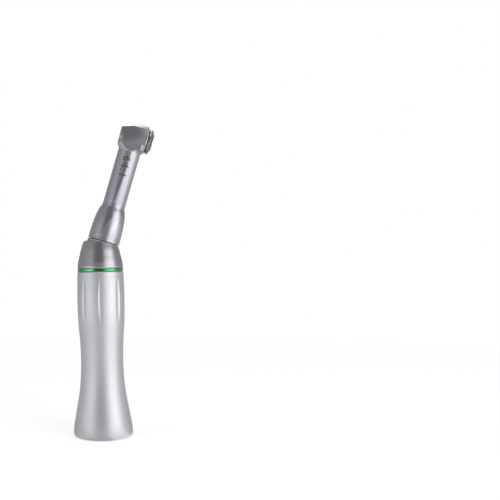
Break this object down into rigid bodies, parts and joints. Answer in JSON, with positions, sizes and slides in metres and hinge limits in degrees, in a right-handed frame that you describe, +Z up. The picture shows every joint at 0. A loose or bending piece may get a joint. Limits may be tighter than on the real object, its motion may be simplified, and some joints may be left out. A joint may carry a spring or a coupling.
{
  "type": "contra-angle handpiece",
  "caption": "Dental reduction contra-angle handpiece with an angled neck, push-button bur chuck, coloured ring and flared satin grip with a motor coupling bore.",
  "frame": {"origin": "middle of the flat rim at the flared drive end of the grip, on the grip's axis", "axes": "+Z up the grip towards the head, along its axis; +X towards the side that the neck leans to, where the push button points; -Y towards the viewer of the front"},
  "size_m": [0.0301, 0.0206, 0.1089],
  "materials": {
    "satin_steel": "fine satin, bead-blasted stainless steel",
    "polished_steel": "bright polished stainless steel",
    "green_enamel": "glossy green enamel",
    "turned_steel": "fine turned stainless steel",
    "gear_steel": "ground hardened steel",
    "bearing_steel": "polished bearing steel",
    "bronze": "plain bearing bronze",
    "seal_rubber": "matte black",
    "spring_steel": "drawn spring wire"
  },
  "bodies": {
    "housing": {"grip_sheath": "satin_steel", "rear_lock_ring": "satin_steel", "coupling_sleeve": "turned_steel", "rear_bearing_holder": "turned_steel", "gear_case": "turned_steel", "front_bearing_holder": "turned_steel", "bearing_spacer": "turned_steel", "bearing_lock_nut": "turned_steel", "thrust_washers": "bronze", "o_rings": "seal_rubber", "green_ring": "green_enamel", "bend_housing": "polished_steel", "neck_sleeve": "polished_steel", "head_housing": "polished_steel", "head_cap": "polished_steel", "button_spring": "spring_steel", "input_bearing_outer": "bearing_steel", "input_bearing_balls": "bearing_steel", "output_bearing_outer": "bearing_steel", "output_bearing_balls": "bearing_steel", "neck_bearing_outer": "bearing_steel", "neck_bearing_balls": "bearing_steel", "head_front_bearing_outer": "bearing_steel", "head_front_bearing_balls": "bearing_steel", "head_rear_bearing_outer": "bearing_steel", "head_rear_bearing_balls": "bearing_steel"},
    "input_rotor": {"drive_dog": "gear_steel", "input_shaft": "gear_steel", "input_bearing_inner": "bearing_steel"},
    "first_carrier_rotor": {"first_carrier": "gear_steel", "first_carrier_pins": "gear_steel"},
    "output_rotor": {"second_carrier": "gear_steel", "second_carrier_pins": "gear_steel", "output_shaft": "gear_steel", "output_clip": "gear_steel", "lower_crown_gear": "gear_steel", "output_bearing_inner": "bearing_steel"},
    "neck_rotor": {"upper_crown_gear": "gear_steel", "neck_shaft": "gear_steel", "head_pinion": "gear_steel", "neck_bearing_inner": "bearing_steel"},
    "spindle_rotor": {"spindle": "gear_steel", "spindle_gear": "gear_steel", "chuck_collet": "gear_steel", "head_front_bearing_inner": "bearing_steel", "head_rear_bearing_inner": "bearing_steel"},
    "button": {"push_button": "polished_steel"},
    "planet_1a": {"planet_gear_1a": "gear_steel"},
    "planet_1b": {"planet_gear_1b": "gear_steel"},
    "planet_1c": {"planet_gear_1c": "gear_steel"},
    "planet_2a": {"planet_gear_2a": "gear_steel"},
    "planet_2b": {"planet_gear_2b": "gear_steel"},
    "planet_2c": {"planet_gear_2c": "gear_steel"}
  },
  "joints": [
    {"name": "output_spin", "type": "hinge", "parent": "housing", "child": "output_rotor", "pos_m": [0, 0, 0.045], "axis": [0, 0, 1], "continuous": true},
    {"name": "first_carrier_spin", "type": "hinge", "parent": "housing", "child": "first_carrier_rotor", "pos_m": [0, 0, 0.0328], "axis": [0, 0, 1], "continuous": true},
    {"name": "input_spin", "type": "hinge", "parent": "housing", "child": "input_rotor", "pos_m": [0, 0, 0.025], "axis": [0, 0, 1], "continuous": true},
    {"name": "neck_spin", "type": "hinge", "parent": "housing", "child": "neck_rotor", "pos_m": [0, 0, 0.0638], "axis": [0.2957, 0, 0.9553], "continuous": true},
    {"name": "spindle_spin", "type": "hinge", "parent": "housing", "child": "spindle_rotor", "pos_m": [0.01249, 0, 0.10416], "axis": [0.9553, 0, -0.2957], "continuous": true},
    {"name": "planet_1a_spin", "type": "hinge", "parent": "first_carrier_rotor", "child": "planet_1a", "pos_m": [0.00336, 0, 0.0305], "axis": [0, 0, 1], "continuous": true},
    {"name": "planet_1b_spin", "type": "hinge", "parent": "first_carrier_rotor", "child": "planet_1b", "pos_m": [-0.00168, 0.00291, 0.0305], "axis": [0, 0, 1], "continuous": true},
    {"name": "planet_1c_spin", "type": "hinge", "parent": "first_carrier_rotor", "child": "planet_1c", "pos_m": [-0.00168, -0.00291, 0.0305], "axis": [0, 0, 1], "continuous": true},
    {"name": "planet_2a_spin", "type": "hinge", "parent": "output_rotor", "child": "planet_2a", "pos_m": [0.00336, 0, 0.0355], "axis": [0, 0, 1], "continuous": true},
    {"name": "planet_2b_spin", "type": "hinge", "parent": "output_rotor", "child": "planet_2b", "pos_m": [-0.00168, 0.00291, 0.0355], "axis": [0, 0, 1], "continuous": true},
    {"name": "planet_2c_spin", "type": "hinge", "parent": "output_rotor", "child": "planet_2c", "pos_m": [-0.00168, -0.00291, 0.0355], "axis": [0, 0, 1], "continuous": true},
    {"name": "button_press", "type": "slide", "parent": "housing", "child": "button", "axis": [-0.9553, 0, 0.2957], "range_m": [0, 0.0005], "stiffness_N_per_m": 500, "deforming": ["button_spring"]}
  ],
  "couplings": [
    {"joint": "first_carrier_spin", "follows": "output_spin", "ratio": 6},
    {"joint": "input_spin", "follows": "output_spin", "ratio": 36},
    {"joint": "neck_spin", "follows": "output_spin", "ratio": 1},
    {"joint": "spindle_spin", "follows": "output_spin", "ratio": 0.5625},
    {"joint": "planet_1a_spin", "follows": "output_spin", "ratio": -15},
    {"joint": "planet_1b_spin", "follows": "output_spin", "ratio": -15},
    {"joint": "planet_1c_spin", "follows": "output_spin", "ratio": -15},
    {"joint": "planet_2a_spin", "follows": "output_spin", "ratio": -2.5},
    {"joint": "planet_2b_spin", "follows": "output_spin", "ratio": -2.5},
    {"joint": "planet_2c_spin", "follows": "output_spin", "ratio": -2.5}
  ]
}
